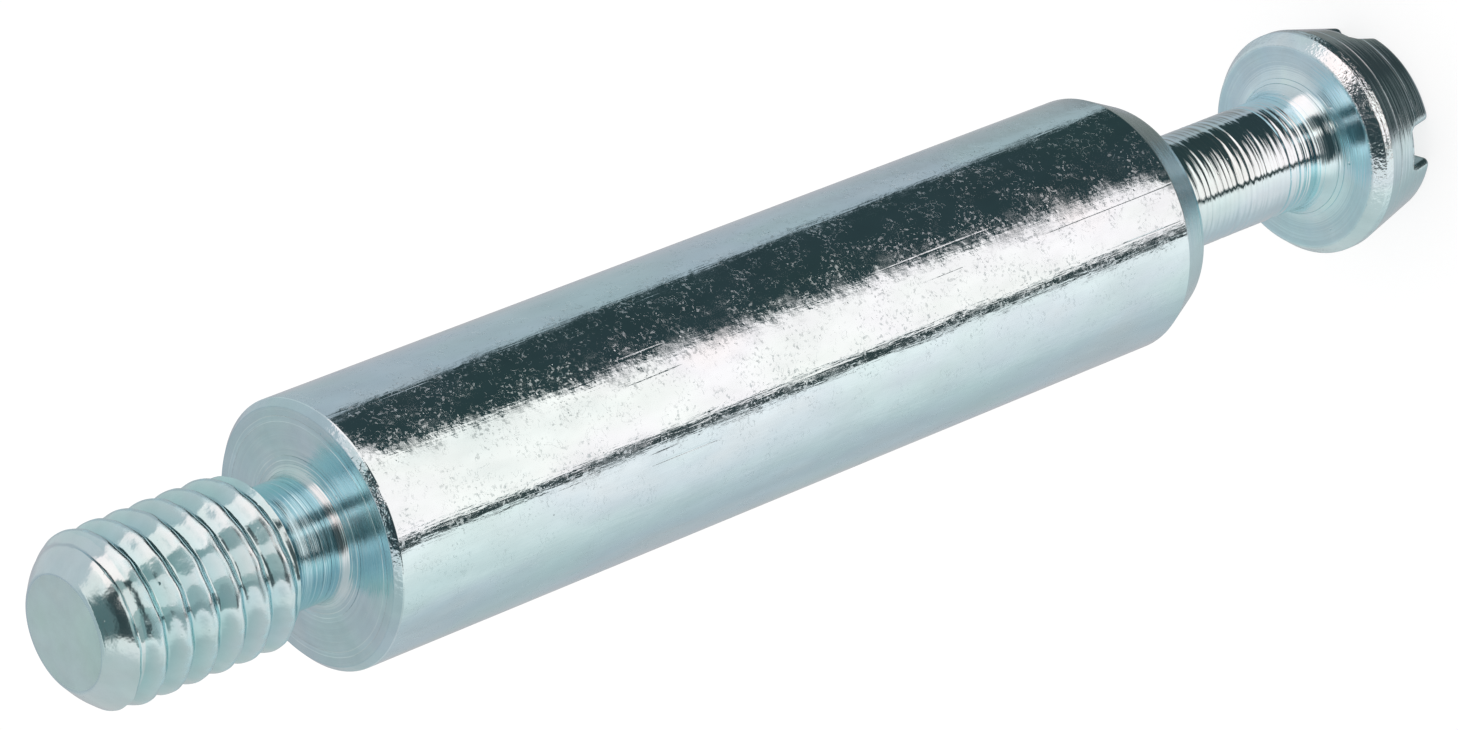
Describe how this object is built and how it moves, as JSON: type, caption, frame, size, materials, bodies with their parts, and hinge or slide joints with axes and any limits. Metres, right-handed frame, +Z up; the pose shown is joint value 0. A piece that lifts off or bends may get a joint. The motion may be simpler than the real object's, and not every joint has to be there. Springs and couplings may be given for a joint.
{
  "type": "cam lock bolt",
  "caption": "Turned steel connecting bolt with a machine thread, a long round body, a thin neck and a coned, cross-slotted head that a furniture cam pulls on.",
  "frame": {"origin": "centre of the shoulder face, where the body seats on the panel around the threaded stud", "axes": "+Z up along the bolt towards its thread, with the bolt standing on the flat end of its head; X and Y along the head's two slots"},
  "size_m": [0.009, 0.009, 0.0573],
  "materials": {
    "zinc": "bright zinc plating with a cool tint over turned steel"
  },
  "bodies": {
    "root": {"cam_bolt": "zinc"}
  },
  "joints": []
}
